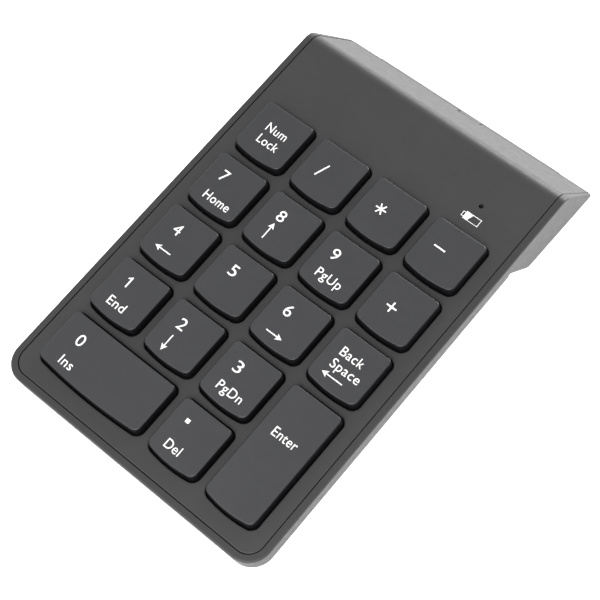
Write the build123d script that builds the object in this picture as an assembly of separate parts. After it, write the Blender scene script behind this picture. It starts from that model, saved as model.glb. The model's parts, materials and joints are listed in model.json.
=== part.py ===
from build123d import *
import os
from math import cos, radians, sin, sqrt, tan

# Wireless numeric keypad: eighteen low plunger keys over rubber domes and a printed membrane.
#
# Everything is drawn in the deck frame: X to the right, Y to the rear, Z out of the key deck, in
# millimetres, with the origin on the deck's surface at the middle of the key grid. seat() then tilts
# the finished pieces to the angle at which the keypad stands, with the table at Z = 0.

# ---- driving dimensions --------------------------------------------------------------------
PITCH = 19.0  # key to key, both ways
TILT = 6.0  # degrees between the deck and the table

CASE_WIDTH = 86.0  # at the deck
CASE_FRONT = -53.25  # front face of the case
REAR_EDGE = 69.8  # where the deck's plane meets the rear face's plane
THIN_DEPTH = 7.0  # deck to underside, in front of the battery hump
REAR_SLOPE = 34.0  # degrees between the rear face and the deck's normal
HUMP_FRONT = 46.6  # where the hump's front slope leaves the flat underside
HUMP_SLOPE = 36.0  # degrees between that slope and the deck's normal
SIDE_DRAFT = 2.6  # degrees the side walls lean in, going down
FRONT_CORNER = 6.6  # plan radius of the two front corners
DECK_ROLL = 4.0  # radius of the deck's roll into the rear face

WALL = 1.6  # top cover
FLOOR = 1.5  # bottom shell's floor
RIM = 1.95  # bottom shell's rim, outside the seam
SEAM = 0.24  # open joint between the cover and the rim
FOOT_PROUD = 0.8  # how far the feet stand below the hump
FRONT_FOOT_Y = -45.2
FAR = 60.0  # clear of the whole case, for shapes that only cut
FRONT_FOOT_DROP = 1.0  # below the flat underside, at the foot's middle

KEY_WIDTH = 15.6  # key top, single key
KEY_DEPTH = 15.95  # key top with its bowed front edge
KEY_BOW = 0.95  # rise of that bow
KEY_REAR_CORNER = 1.3
KEY_FRONT_CORNER = 2.0
KEY_RISE = 2.5  # key top above the deck
KEY_SKIRT = 1.0  # skirt's foot below the deck
KEY_FLARE = 0.25  # skirt wider than the top, each side
KEY_DISH = 0.22
KEY_EDGE = 0.45  # rounding of the top's edges
KEY_WALL = 1.0
KEY_ROOF = 1.3
KEY_TRAVEL = 2.0
OPENING_GROW = 0.55  # cover's opening larger than the key top, each side
OPENING_CHAMFER = 0.2

STEM = 8.6  # square guide tube under a key
STEM_WALL = 0.6
STEM_FOOT = -2.7
PUSHER_RADIUS = 1.8
DOME_GAP = 0.1  # between a key's pusher and its dome
COLLAR_GAP = 0.15
COLLAR_WALL = 0.8
GUIDE_TOP = -3.3
GUIDE_THICK = 0.9
BARB_TOP = -2.0
BARB_HEIGHT = 0.6
BARB_PROUD = 0.55
BARB_HALF = 0.8
STEM_CORNER = 0.7  # outer corner radius of the guide tube
BORE_CORNER = 0.3

FILM = 0.1
FILM_HALF = 39.9
FILM_REAR = 48.4
DOME_TOP = -2.1
DOME_RADIUS = 3.4
DOME_FLANGE = 4.2
DOME_WALL = 0.45
GUIDE_HALF = 40.1
GUIDE_REAR = 48.3

WIRE = 1.0  # stabiliser wire's diameter
WIRE_OFFSET = 6.0  # long run, from the key's middle
WIRE_REST = -1.0  # long run's height at rest
WIRE_TIP = -2.0  # height of the tips in the guide
WIRE_ARM = 6.0
ARM_X = 13.0
TIP_X = 15.3
CLIP_X = 9.5

SCREW_CORE = 0.8
SCREW_HEAD = 1.9
SCREW_HEAD_THICK = 1.2
SCREW_LENGTH = 3.15
SEAT_WEB = 1.0  # thickness that a screw's head pulls on
SCREW_BITE = 0.02  # clearance in the boss that the thread holds
SCREW_FREE = 0.2  # clearance in the part that the head pulls on
CROSS_ARM = 1.1
CROSS_HALF = 0.25
CROSS_DEEP = 0.6
FIELD_BOSS = 2.0  # radii of the cover's bosses
HUMP_BOSS = 2.6
FIELD_SOCKET = 2.7  # radii of the shell's bosses
HUMP_SOCKET = 3.4
STAKE = 1.5  # shoulder, pin and melted head of a stake that holds the guide plate
STAKE_PIN = 0.8
STAKE_HEAD = 1.3
STAKE_HEAD_THICK = 0.35

CELL_RADIUS = 5.2
CELL_LENGTH = 44.5
CELL_NUB = 1.3
BAY_HALF = 26.0
BAY_WALL = 1.5
DOOR_HALF = 31.0
DOOR_THICK = 1.5
DOOR_GAP = 0.2
DOOR_TONGUE = 1.0
TONGUE_LOW = 0.7
TONGUE_HIGH = 1.4
SWITCH_TRAVEL = 2.0
UNDER_EDGE = 1.6  # rounding of the case's lower edges
NOSE_ROUND = 2.0  # rounding of the hump's front lower corner
RIM_EDGE = 0.5  # rounding of its upper outline
COVER_EDGE = 0.25  # rounding of the cover's outline beside the seam
DOOR_START = -13.0  # door's front edge, from the middle of the hump's underside
TONGUE_START = -10.0
GRIPS = 4  # finger grooves across the door
GRIP_PITCH = 1.6
GRIP_WIDTH = 0.7
GRIP_DEPTH = 0.35
GRIP_HALF = 9.0
GRIP_START = 6.0
NOTCH_X = 1.9
NOTCH_HALF = 3.9
NOTCH_TALL = 3.2  # above the hump's underside
TAB_THICK = 1.4  # door's finger tab, measured from the rear face
TAB_GAP = 0.4  # clearance beside it in the notch
FOOT_RADIUS = 3.2
FOOT_SUNK = 0.6
FRONT_FOOT_X = 35.0
REAR_FOOT = (36.6, 9.2)  # the second figure from the middle of the hump's underside
SWITCH = (36.4, 0.5)
LAMP = (26.9, 55.1)
LAMP_RADIUS = 0.65
PIPE_TOP = -1.0  # the light pipe ends inside its hole
PIPE_COLLAR = 1.2
BOARD_X = (-28.5, 32.5)
BOARD_Y = (51.0, 66.0)
BOARD_TOP = -3.1
BOARD_PINS = [(-12.0, 64.0), (16.0, 64.0)]
BOARD_PRESSES = [(-26.0, 53.5), (-4.0, 64.0), (29.5, 64.0)]
PIN_RADIUS = 0.9
PRESS_RADIUS = 1.0
CHIP = (20.0, 58.0)
CHIP_SIDE = 5.0
TAIL_X = 4.0
TAIL_HALF = 9.0
TAIL_END = 54.6
PLATE = 0.35  # contact sheet
PLATE_HALF = 3.6
COIL_WIRE = 0.22  # radius
TAB_HALF = 0.15
TAB_SLOT = 0.35  # half width of a tab's slot in the shell and the board
FRONT_CELL = (57.6, -10.4)
REAR_CELL = (68.2, -12.35)
# x, y, width and lower end of the tabs that carry current up to the board
CONTACT_TABS = [(-25.8, 58.5, 2.0, -8.0), (-25.8, 64.9, 1.6, -10.0), (25.8, 60.0, 2.0, -8.0)]

# ---- key layout: column, row, columns wide, rows deep ----------------------------------------
KEYS = {
    "key_num_lock": (0, 0, 1, 1),
    "key_divide": (1, 0, 1, 1),
    "key_multiply": (2, 0, 1, 1),
    "key_minus": (3, 0, 1, 1),
    "key_7": (0, 1, 1, 1),
    "key_8": (1, 1, 1, 1),
    "key_9": (2, 1, 1, 1),
    "key_plus": (3, 1, 1, 1),
    "key_4": (0, 2, 1, 1),
    "key_5": (1, 2, 1, 1),
    "key_6": (2, 2, 1, 1),
    "key_backspace": (3, 2, 1, 1),
    "key_1": (0, 3, 1, 1),
    "key_2": (1, 3, 1, 1),
    "key_3": (2, 3, 1, 1),
    "key_enter": (3, 3, 1, 2),
    "key_0": (0, 4, 2, 1),
    "key_point": (2, 4, 1, 1),
}

# ---- values worked out from the dimensions -----------------------------------------------------
HALF = CASE_WIDTH / 2
INNER_HALF = HALF - RIM  # inside of the rim
COVER_HALF = INNER_HALF - SEAM
FLOOR_TOP = -THIN_DEPTH + FLOOR
ROOF = KEY_RISE - KEY_ROOF  # ceiling inside a key
COLLAR_TOP = ROOF - KEY_TRAVEL - 0.2  # clear of the ceiling of a pressed key
GUIDE_FOOT = GUIDE_TOP - GUIDE_THICK
COLLAR_OUT = STEM + 2 * COLLAR_GAP + 2 * COLLAR_WALL
DOME_FOOT = FLOOR_TOP + 3 * FILM
LEDGE = 0.6  # width of the ledge that the cover's edge rests on
WELL_REAR = 48.9  # the key well ends and the battery bay begins
BAY_TOP = -5.1
BAY_ROOF = -3.9  # its outer face, which the circuit board lies on
BAY_FRONT = 50.3
BACK = WALL + 0.15  # clearance plane behind the cover's rear wall
BAY_BACK = BACK + 1.2
FRONT_FOOT_SOLE = -THIN_DEPTH - FRONT_FOOT_DROP


def table_z(y):
    """Height of the table under the deck frame's point y."""
    return FRONT_FOOT_SOLE - (y - FRONT_FOOT_Y) * tan(radians(TILT))


def hump_z(y):
    """Height of the hump's flat underside, parallel to the table."""
    return table_z(y) + FOOT_PROUD / cos(radians(TILT))


def rear_y(z, inset=0.0):
    """Rear face's y at height z, or that of a plane inset behind it."""
    slope = radians(REAR_SLOPE)
    return REAR_EDGE - z * tan(slope) - inset / cos(slope)


def slope_y(z, inset=0.0):
    """The hump's front slope at height z, or a plane inset inside the hump."""
    slope = radians(HUMP_SLOPE)
    return HUMP_FRONT - (z + THIN_DEPTH) * tan(slope) + inset / cos(slope)


def meet(line_y, line_z):
    """The point where a slope given as y(z) meets a line given as z(y)."""
    z = -20.0
    for _ in range(40):
        z = line_z(line_y(z))
    return line_y(z), z


HUMP_NOSE = meet(slope_y, hump_z)
HUMP_HEEL = meet(rear_y, hump_z)


def key_centre(name):
    """Middle of a key's cell in the deck frame."""
    column, row, wide, deep = KEYS[name]
    x = (column + (wide - 1) / 2 - 1.5) * PITCH
    y = (2 - row - (deep - 1) / 2) * PITCH
    return x, y


# ---- helpers -------------------------------------------------------------------------------------
def block(x0, x1, y0, y1, z0, z1):
    """A box between two corners."""
    middle = Pos((x0 + x1) / 2, (y0 + y1) / 2, (z0 + z1) / 2)
    return middle * Box(x1 - x0, y1 - y0, z1 - z0)


def post(x, y, z0, z1, radius):
    """An upright cylinder."""
    return Pos(x, y, (z0 + z1) / 2) * Cylinder(radius, z1 - z0)


def side_slab(points, x0, x1):
    """A solid with an outline in Y and Z, from x0 to x1."""
    face = make_face(Polyline(*[(y, z) for y, z in points], close=True))
    return Pos(x0, 0, 0) * extrude(Plane.YZ * face, amount=x1 - x0)


def plan_slab(x_half, y0, y1, radius, z0, z1):
    """A slab with rounded front corners."""
    face = Rectangle(2 * x_half, y1 - y0)
    face = Pos(0, (y0 + y1) / 2) * face
    front = face.vertices().filter_by(lambda v: v.Y < (y0 + y1) / 2)
    return Pos(0, 0, z0) * extrude(fillet(front, radius), amount=z1 - z0)


def edge_at(shape, y, z):
    """The edge along X that passes through that point."""
    along = shape.edges().filter_by(Axis.X)
    return along.filter_by(lambda e: abs(e.center().Y - y) < 0.01 and abs(e.center().Z - z) < 0.01)


def fused(first, *others):
    """One solid from pieces that overlap or share faces."""
    shape = first
    for other in others:
        shape = shape + other
    return shape


def on_hump(shape):
    """Places a shape drawn on the table's level (z up from the hump's underside)."""
    return Pos(0, HUMP_MID, hump_z(HUMP_MID)) * Rot(-TILT, 0, 0) * shape


HUMP_MID = (HUMP_NOSE[0] + HUMP_HEEL[0]) / 2
HUMP_HALF = (HUMP_HEEL[0] - HUMP_NOSE[0]) / 2 / cos(radians(TILT))
COVER_LOW = HUMP_HEEL[1] + DOOR_THICK / 2  # the cover's rear wall is drawn to here, then trimmed


# ---- keys ------------------------------------------------------------------------------------------
def key_face(wide, deep, grow):
    """Outline of a key, grown by that much each side: square rear, bowed front."""
    half = KEY_WIDTH / 2 + (wide - 1) * PITCH / 2 + grow
    rear = KEY_DEPTH / 2 + (deep - 1) * PITCH / 2 + grow
    front = -rear + KEY_BOW
    outline = [
        Line((-half, front), (-half, rear)),
        Line((-half, rear), (half, rear)),
        Line((half, rear), (half, front)),
        ThreePointArc((half, front), (0, -rear), (-half, front)),
    ]
    face = make_face(outline)
    rear_corners = face.vertices().filter_by(lambda v: v.Y > 0)
    face = fillet(rear_corners, KEY_REAR_CORNER + grow)
    front_corners = face.vertices().filter_by(lambda v: v.Y < 0 and abs(abs(v.X) - half) < 1e-4)
    return fillet(front_corners, KEY_FRONT_CORNER + grow)


def key_body(wide, deep):
    """A key's outer form: flared skirt, slightly dished top, soft edges."""
    foot = Pos(0, 0, -KEY_SKIRT) * key_face(wide, deep, KEY_FLARE)
    top = Pos(0, 0, KEY_RISE) * key_face(wide, deep, 0)
    body = loft([foot, top], ruled=True)
    width = KEY_WIDTH + (wide - 1) * PITCH
    radius = width**2 / (8 * KEY_DISH) + KEY_DISH / 2
    dish = Pos(0, 0, KEY_RISE - KEY_DISH + radius) * Rot(90, 0, 0) * Cylinder(radius, FAR)
    body = body - dish
    top_face = body.faces().sort_by(Axis.Z)[-1]
    return fillet(top_face.edges(), KEY_EDGE)


def key_stem():
    """Square guide tube with its two snap barbs, and the pusher over the dome."""
    tube = extrude(RectangleRounded(STEM, STEM, STEM_CORNER), amount=ROOF - STEM_FOOT)
    inside = STEM - 2 * STEM_WALL
    bore = extrude(RectangleRounded(inside, inside, BORE_CORNER), amount=FAR)
    stem = Pos(0, 0, STEM_FOOT) * (tube - bore)
    pusher = post(0, 0, DOME_TOP + DOME_GAP, ROOF, PUSHER_RADIUS)
    reach = STEM / 2 + BARB_PROUD
    for side in (-1, 1):
        x0, x1 = sorted((side * (STEM / 2 - 0.3), side * reach))
        stem = stem + block(x0, x1, -BARB_HALF, BARB_HALF, BARB_TOP - BARB_HEIGHT, BARB_TOP)
    return stem + pusher


def wire_clip(x):
    """Clip under a long key that holds the stabiliser wire."""
    lug = block(x - 1.0, x + 1.0, WIRE_OFFSET - 1.1, WIRE_OFFSET + 1.1, WIRE_REST - 0.75, ROOF)
    bore = Pos(x, WIRE_OFFSET, WIRE_REST) * Rot(0, 90, 0) * Cylinder(WIRE / 2 + 0.15, 4)
    mouth = block(x - 2, x + 2, WIRE_OFFSET - 0.4, WIRE_OFFSET + 0.4, WIRE_REST - 2, WIRE_REST)
    return lug - bore - mouth


def stabiliser_turn(name):
    """The wire runs along X under the wide key and along Y under the deep one."""
    return Rot(0, 0, 90) if KEYS[name][3] > 1 else Rot(0, 0, 0)


def keycap(name):
    """Thin moulded cap with its stem, and clips where a wire steadies it."""
    _, _, wide, deep = KEYS[name]
    body = key_body(wide, deep)
    hollow = extrude(key_face(wide, deep, -KEY_WALL), amount=ROOF + KEY_SKIRT)
    cap = body - Pos(0, 0, -KEY_SKIRT) * hollow
    cap = cap + key_stem()
    if wide * deep > 1:
        for side in (-1, 1):
            cap = cap + stabiliser_turn(name) * wire_clip(side * CLIP_X)
    return Pos(*key_centre(name), 0) * cap


def stabiliser(name):
    """Bent wire: a long run in the key's clips and two arms with tips in the guide."""
    drop = WIRE_REST - WIRE_TIP
    run = sqrt(WIRE_ARM**2 - drop**2)
    bend = 0.8
    path = FilletPolyline(
        (-TIP_X, WIRE_OFFSET - run, WIRE_TIP),
        (-ARM_X, WIRE_OFFSET - run, WIRE_TIP),
        (-ARM_X, WIRE_OFFSET, WIRE_REST),
        (ARM_X, WIRE_OFFSET, WIRE_REST),
        (ARM_X, WIRE_OFFSET - run, WIRE_TIP),
        (TIP_X, WIRE_OFFSET - run, WIRE_TIP),
        radius=bend,
    )
    start = Plane(origin=path @ 0, z_dir=path % 0)
    wire = sweep(start * Circle(WIRE / 2), path=path)
    return Pos(*key_centre(name), 0) * stabiliser_turn(name) * wire


# ---- screws and stakes in the gaps between the keys ---------------------------------------------
FIELD_SCREWS = [
    (-PITCH, 1.5 * PITCH),
    (PITCH, 1.5 * PITCH),
    (-PITCH, -PITCH / 2),
    (PITCH, -PITCH / 2),
    (0, -1.5 * PITCH),
]
FIELD_STAKES = [
    (0, 1.5 * PITCH),
    (-PITCH, PITCH / 2),
    (0, PITCH / 2),
    (PITCH, PITCH / 2),
    (0, -PITCH / 2),
]
EDGE_STAKES = [(side * 38.9, y) for side in (-1, 1) for y in (2 * PITCH, -1.5 * PITCH)]
HUMP_SCREWS = [(side * 36.0, 60.0) for side in (-1, 1)]
FIELD_SEAT = FLOOR_TOP + 0.15  # underside of the web that a field screw's head pulls on
FIELD_SPLIT = FIELD_SEAT + SEAT_WEB  # where the shell's boss meets the cover's
HUMP_SEAT = -14.8
HUMP_SPLIT = HUMP_SEAT + SEAT_WEB
FIELD_DEPTH = -WALL - 0.3 - FIELD_SPLIT  # depth of the screw holes above the split
HUMP_DEPTH = 8.0


# ---- top cover ------------------------------------------------------------------------------------
def cover_sheet():
    """Deck and rear face as one rolled sheet, with the roll's two radii."""
    low = COVER_LOW
    inner_corner = (rear_y(-WALL, WALL), -WALL)
    outer = [(CASE_FRONT, 0), (REAR_EDGE, 0), (rear_y(low), low)]
    inner = [(rear_y(low, WALL), low), inner_corner, (CASE_FRONT, -WALL)]
    sheet = side_slab(outer + inner, -COVER_HALF, COVER_HALF)
    sheet = fillet(edge_at(sheet, REAR_EDGE, 0), DECK_ROLL)
    return fillet(edge_at(sheet, *inner_corner), DECK_ROLL - WALL)


def cover_opening(name):
    """What a key's opening takes out of the deck, with its eased edge."""
    _, _, wide, deep = KEYS[name]
    hole = extrude(key_face(wide, deep, OPENING_GROW), amount=2 * WALL, both=True)
    ease = loft(
        [
            Pos(0, 0, -OPENING_CHAMFER) * key_face(wide, deep, OPENING_GROW),
            Pos(0, 0, 0.02) * key_face(wide, deep, OPENING_GROW + OPENING_CHAMFER),
        ],
        ruled=True,
    )
    place = Pos(*key_centre(name), 0)
    return place * hole, place * ease


def cover_boss(x, y, split, radius, depth):
    """Boss under the cover with its blind screw hole."""
    return post(x, y, split, -WALL, radius) - post(x, y, split - 1, split + depth, SCREW_CORE + SCREW_BITE)


def top_cover():
    """Deck and rear face, with the bosses and stakes that hang under it."""
    front = CASE_FRONT + RIM + SEAM
    plan = plan_slab(COVER_HALF, front, REAR_EDGE + FAR, FRONT_CORNER - RIM - SEAM, -FAR, 1)
    cover = cover_sheet() & plan
    rim_edges = cover.edges().filter_by(lambda e: e.center().Z > -1e-3)
    outer_rim = rim_edges.filter_by(
        lambda e: abs(abs(e.center().X) - COVER_HALF) < 0.01 or e.center().Y < front + 3
    )
    cover = fillet(outer_rim, COVER_EDGE)
    for name in KEYS:
        hole, ease = cover_opening(name)
        cover = cover - hole - ease
    cover = cover - post(*LAMP, -WALL - 1, 1, LAMP_RADIUS)
    notch = block(NOTCH_X - NOTCH_HALF, NOTCH_X + NOTCH_HALF, 0, FAR, -2, NOTCH_TALL + 0.3)
    trim = block(-HALF, HALF, 0, FAR, -4, DOOR_THICK + 0.25)
    cover = cover - on_hump(fused(notch, trim))
    for x, y in BOARD_PRESSES:
        cover = cover + post(x, y, BOARD_TOP, -WALL, PRESS_RADIUS)
    for x, y in FIELD_SCREWS:
        cover = cover + cover_boss(x, y, FIELD_SPLIT, FIELD_BOSS, FIELD_DEPTH)
    for x, y in HUMP_SCREWS:
        cover = cover + cover_boss(x, y, HUMP_SPLIT, HUMP_BOSS, HUMP_DEPTH)
    for x, y in FIELD_STAKES + EDGE_STAKES:
        cover = cover + post(x, y, GUIDE_TOP, -WALL, STAKE) + post(x, y, GUIDE_FOOT, GUIDE_TOP, STAKE_PIN)
        cover = cover + post(x, y, GUIDE_FOOT - STAKE_HEAD_THICK, GUIDE_FOOT, STAKE_HEAD)
    return cover


# ---- bottom shell ----------------------------------------------------------------------------------
def drafted_plan(depth):
    """Plan of the case carried down from the deck with its side draft."""
    rear = REAR_EDGE + FAR
    face = Pos(0, (CASE_FRONT + rear) / 2) * Rectangle(CASE_WIDTH, rear - CASE_FRONT)
    face = fillet(face.vertices().filter_by(lambda v: v.Y < 0), FRONT_CORNER)
    return extrude(face, amount=depth, dir=(0, 0, -1), taper=SIDE_DRAFT)


def on_rear(point):
    """True where a point lies on the rear face's plane."""
    return abs(point.Y - rear_y(point.Z)) < 0.05


def is_rim(edge):
    """True for the case's upper outline: sides and front of the deck, and both sides of the rear face."""
    mid = edge @ 0.5
    across = abs((edge @ 0).X - (edge @ 1).X) > HALF and mid.Y > 0
    behind = mid.Y > REAR_EDGE - 3 and (mid.Z > -1.9 or on_rear(mid))
    return edge.length > 0.05 and not across and (mid.Z > -0.02 or behind)


def is_hump_foot(edge):
    """True for the lower side edges of the hump."""
    mid = edge @ 0.5
    return abs(mid.X) > HALF - 2 and mid.Z < -5.1 and not on_rear(mid)


def case_form():
    """The whole case as one solid: thin front, battery hump, drafted sides and soft edges."""
    start = HUMP_FRONT - 6
    thin = drafted_plan(THIN_DEPTH)
    thin = fillet(thin.edges().filter_by(lambda e: e.center().Z < -THIN_DEPTH + 0.01), UNDER_EDGE)
    thin = thin & block(-FAR, FAR, -FAR, start + 5, -FAR, 1)
    outline = [(start, 0), (REAR_EDGE, 0), HUMP_HEEL, HUMP_NOSE, (slope_y(-5), -5), (start, -5)]
    hump = side_slab(outline, -FAR, FAR)
    hump = fillet(edge_at(hump, REAR_EDGE, 0), DECK_ROLL)
    hump = fillet(edge_at(hump, *HUMP_NOSE), NOSE_ROUND)
    hump = hump & drafted_plan(FAR)
    form = thin + fillet([e for e in hump.edges() if is_hump_foot(e)], UNDER_EDGE)
    return fillet([e for e in form.edges() if is_rim(e)], RIM_EDGE)


def door_space():
    """Recess and side grooves that the battery door slides in, open to the rear."""
    half = DOOR_HALF + DOOR_GAP
    recess = block(-half, half, DOOR_START - DOOR_GAP, FAR, -2, DOOR_THICK + 0.1)
    reach = half + DOOR_TONGUE
    grooves = block(-reach, reach, TONGUE_START - DOOR_GAP, FAR, TONGUE_LOW - 0.1, TONGUE_HIGH + 0.1)
    return on_hump(fused(recess, grooves))


def side_room(x0, x1, level):
    """Hollow beside the battery bay, down to that level above the hump's underside."""
    walls = [
        (slope_y(-FAR, FLOOR), -FAR),
        (slope_y(4, FLOOR), 4),
        (rear_y(4, BACK), 4),
        (rear_y(-FAR, BACK), -FAR),
    ]
    return side_slab(walls, x0, x1) & on_hump(block(-FAR, FAR, -FAR, FAR, level, FAR))


def battery_bay():
    """Space for the two cells, open below."""
    slope = radians(HUMP_SLOPE)
    corner_z = -THIN_DEPTH - (BAY_FRONT - FLOOR / cos(slope) - HUMP_FRONT) / tan(slope)
    walls = [
        (slope_y(-FAR, FLOOR), -FAR),
        (BAY_FRONT, corner_z),
        (BAY_FRONT, BAY_TOP),
        (rear_y(BAY_TOP, BAY_BACK), BAY_TOP),
        (rear_y(-FAR, BAY_BACK), -FAR),
    ]
    return side_slab(walls, -BAY_HALF, BAY_HALF)


def key_well():
    """Hollow under the deck, and the shallower one over the battery bay, inside the cover's ledge."""
    wall = INNER_HALF - LEDGE
    front = CASE_FRONT + RIM + LEDGE
    well = plan_slab(wall, front, WELL_REAR, FRONT_CORNER - RIM - LEDGE, FLOOR_TOP, 2)
    start = WELL_REAR - 1
    section = [(start, BAY_ROOF), (start, 2), (rear_y(2, BACK), 2), (rear_y(BAY_ROOF, BACK), BAY_ROOF)]
    return well, side_slab(section, -wall, wall)


def cover_space():
    """Room for the cover: its recess in the rim, its rear wall and the thick inside of its roll."""
    recess = plan_slab(INNER_HALF, CASE_FRONT + RIM, REAR_EDGE + FAR, FRONT_CORNER - RIM, -WALL, 2)
    section = [(rear_y(2, BACK), 2), (rear_y(-FAR, BACK), -FAR), (2 * FAR, -FAR), (2 * FAR, 2)]
    behind = side_slab(section, -INNER_HALF, INNER_HALF)
    behind = behind & on_hump(block(-FAR, FAR, -10, FAR, DOOR_THICK + 0.1, FAR))
    roll = block(-INNER_HALF, INNER_HALF, REAR_EDGE - DECK_ROLL, REAR_EDGE + 2, -WALL - 1.4, 0)
    return recess, behind, roll


def screw_socket(x, y, foot, seat_z, radius):
    """Boss that meets the cover's, its head's counterbore and its clearance hole."""
    boss = post(x, y, foot, seat_z + SEAT_WEB, radius)
    head = post(x, y, -FAR, seat_z, SCREW_HEAD + SCREW_FREE)
    hole = post(x, y, seat_z - 1, seat_z + SEAT_WEB + 1, SCREW_CORE + SCREW_FREE)
    return boss, head, hole


def tab_slot(x, y, width, z0, z1):
    """Slot that a contact's tab passes through."""
    reach = width / 2 + 0.2
    return block(x - TAB_SLOT, x + TAB_SLOT, y - reach, y + reach, z0, z1)


def bottom_shell():
    """Rim, floor and battery hump, hollowed for the works."""
    shell = case_form()
    for space in (*cover_space(), *key_well()):
        shell = shell - space
    wall = INNER_HALF - LEDGE
    for side in (-1, 1):
        upper = sorted((side * (BAY_HALF + BAY_WALL), side * wall))
        lower = sorted((side * (DOOR_HALF + DOOR_TONGUE + BAY_WALL + 0.1), side * wall))
        shell = shell - side_room(*upper, DOOR_THICK + 1.3) - side_room(*lower, FLOOR)
    shell = shell - battery_bay() - door_space()
    sockets = [screw_socket(x, y, FLOOR_TOP, FIELD_SEAT, FIELD_SOCKET) for x, y in FIELD_SCREWS]
    sockets += [screw_socket(x, y, hump_z(y) + 0.8, HUMP_SEAT, HUMP_SOCKET) for x, y in HUMP_SCREWS]
    for boss, head, hole in sockets:
        shell = shell + boss - head - hole
    for x, y in BOARD_PINS:
        shell = shell + post(x, y, BAY_ROOF, BOARD_TOP + 0.7, PIN_RADIUS)
    socket_radius = FOOT_RADIUS + 0.15
    for x in (-FRONT_FOOT_X, FRONT_FOOT_X):
        shell = shell - post(x, FRONT_FOOT_Y, -FAR, -THIN_DEPTH + FOOT_SUNK, socket_radius)
    for x in (-REAR_FOOT[0], REAR_FOOT[0]):
        shell = shell - on_hump(post(x, REAR_FOOT[1], -2, FOOT_SUNK, socket_radius))
    for x, y, width, _ in CONTACT_TABS:
        shell = shell - tab_slot(x, y, width, BAY_TOP - 1, BAY_ROOF + 1)
    x, y = SWITCH
    return shell - on_hump(block(x - 1.35, x + 1.35, y - 2.6, y + 2.6, -1, FLOOR + 1))


# ---- battery door ------------------------------------------------------------------------------------
def battery_door():
    """Sliding door: plate, side tongues, and a finger tab in the cover's notch."""
    plate = block(-DOOR_HALF, DOOR_HALF, DOOR_START, HUMP_HALF + 4, 0, DOOR_THICK)
    reach = DOOR_HALF + DOOR_TONGUE
    tongues = block(-reach, reach, TONGUE_START, HUMP_HALF - 2.5, TONGUE_LOW, TONGUE_HIGH)
    high = BAY_TOP
    inside = side_slab([(0, high), (rear_y(high), high), (rear_y(-FAR), -FAR), (0, -FAR)], -HALF, HALF)
    door = on_hump(fused(plate, tongues)) & inside
    reach = NOTCH_HALF - TAB_GAP
    tab = on_hump(block(NOTCH_X - reach, NOTCH_X + reach, 0, HUMP_HALF + 4, DOOR_THICK / 2, NOTCH_TALL))
    front = [(rear_y(-FAR, TAB_THICK), -FAR), (rear_y(high, TAB_THICK), high)]
    skin = front + [(rear_y(high), high), (rear_y(-FAR), -FAR)]
    door = door + (tab & side_slab(skin, -HALF, HALF))
    for i in range(GRIPS):
        y = GRIP_START + i * GRIP_PITCH
        groove = block(NOTCH_X - GRIP_HALF, NOTCH_X + GRIP_HALF, y, y + GRIP_WIDTH, -1, GRIP_DEPTH)
        door = door - on_hump(groove)
    return door


# ---- keying parts under the deck ---------------------------------------------------------------------
def key_guide():
    """Plate with a square collar for every key's stem, and hooks for the two stabiliser wires."""
    y0 = CASE_FRONT + RIM + LEDGE + 0.4
    plate = plan_slab(GUIDE_HALF, y0, GUIDE_REAR, FRONT_CORNER - RIM - LEDGE, GUIDE_FOOT, GUIDE_TOP)
    bore_side = STEM + 2 * COLLAR_GAP
    bore = extrude(RectangleRounded(bore_side, bore_side, STEM_CORNER + COLLAR_GAP), amount=10, both=True)
    reach = COLLAR_OUT / 2 + 0.1
    windows = block(-reach, reach, -BARB_HALF - 0.2, BARB_HALF + 0.2, GUIDE_FOOT - 1, BARB_TOP + 0.02)
    collar = extrude(RectangleRounded(COLLAR_OUT, COLLAR_OUT, 1.2), amount=COLLAR_TOP - GUIDE_TOP)
    for name, (_, _, wide, deep) in KEYS.items():
        place = Pos(*key_centre(name), 0)
        turn = stabiliser_turn(name)
        plate = plate + place * Pos(0, 0, GUIDE_TOP) * collar
        if wide * deep > 1:
            plate = plate + place * turn * fused(*[wire_hook(side) for side in (-1, 1)])
            plate = plate - place * turn * wire_clearance()
        plate = plate - place * bore - place * windows
    for x, y in FIELD_SCREWS:
        plate = plate - post(x, y, GUIDE_FOOT - 1, GUIDE_TOP + 1, FIELD_BOSS + 0.25)
    for x, y in FIELD_STAKES + EDGE_STAKES:
        plate = plate - post(x, y, GUIDE_FOOT - 1, GUIDE_TOP + 1, STAKE_PIN + 0.1)
    return plate


def wire_tip_y():
    """How far the wire's tips stand from the key's middle."""
    return WIRE_OFFSET - sqrt(WIRE_ARM**2 - (WIRE_REST - WIRE_TIP) ** 2)


def wire_hook(side):
    """Hook that a stabiliser wire's tip turns in, open towards the long run's far side."""
    x0, x1 = sorted((side * (ARM_X + 0.75), side * (TIP_X - 0.1)))
    y = wire_tip_y()
    hook = block(x0, x1, y - 1.5, y + 1.4, GUIDE_TOP - 0.2, WIRE_TIP + 1.1)
    bore = Pos((x0 + x1) / 2, y, WIRE_TIP) * Rot(0, 90, 0) * Cylinder(WIRE / 2 + 0.08, 4)
    mouth = block(x0 - 1, x1 + 1, y - 3, y, WIRE_TIP - 0.42, WIRE_TIP + 0.42)
    return hook - bore - mouth


def wire_clearance():
    """Pockets in the guide plate under a wire's long run, its arms and the clips."""
    low, high = GUIDE_FOOT - 1, GUIDE_TOP + 0.1
    beside, beyond = 0.95, 1.35
    pockets = [block(-ARM_X - 1, ARM_X + 1, WIRE_OFFSET - beside, WIRE_OFFSET + beside, low, high)]
    for x in (-CLIP_X, CLIP_X):
        pockets.append(block(x - 1.25, x + 1.25, WIRE_OFFSET - beyond, WIRE_OFFSET + beyond, low, high))
    for x in (-ARM_X, ARM_X):
        pockets.append(block(x - 0.75, x + 0.75, 2.0, WIRE_OFFSET + beside, low, high))
    return fused(*pockets)


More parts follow.
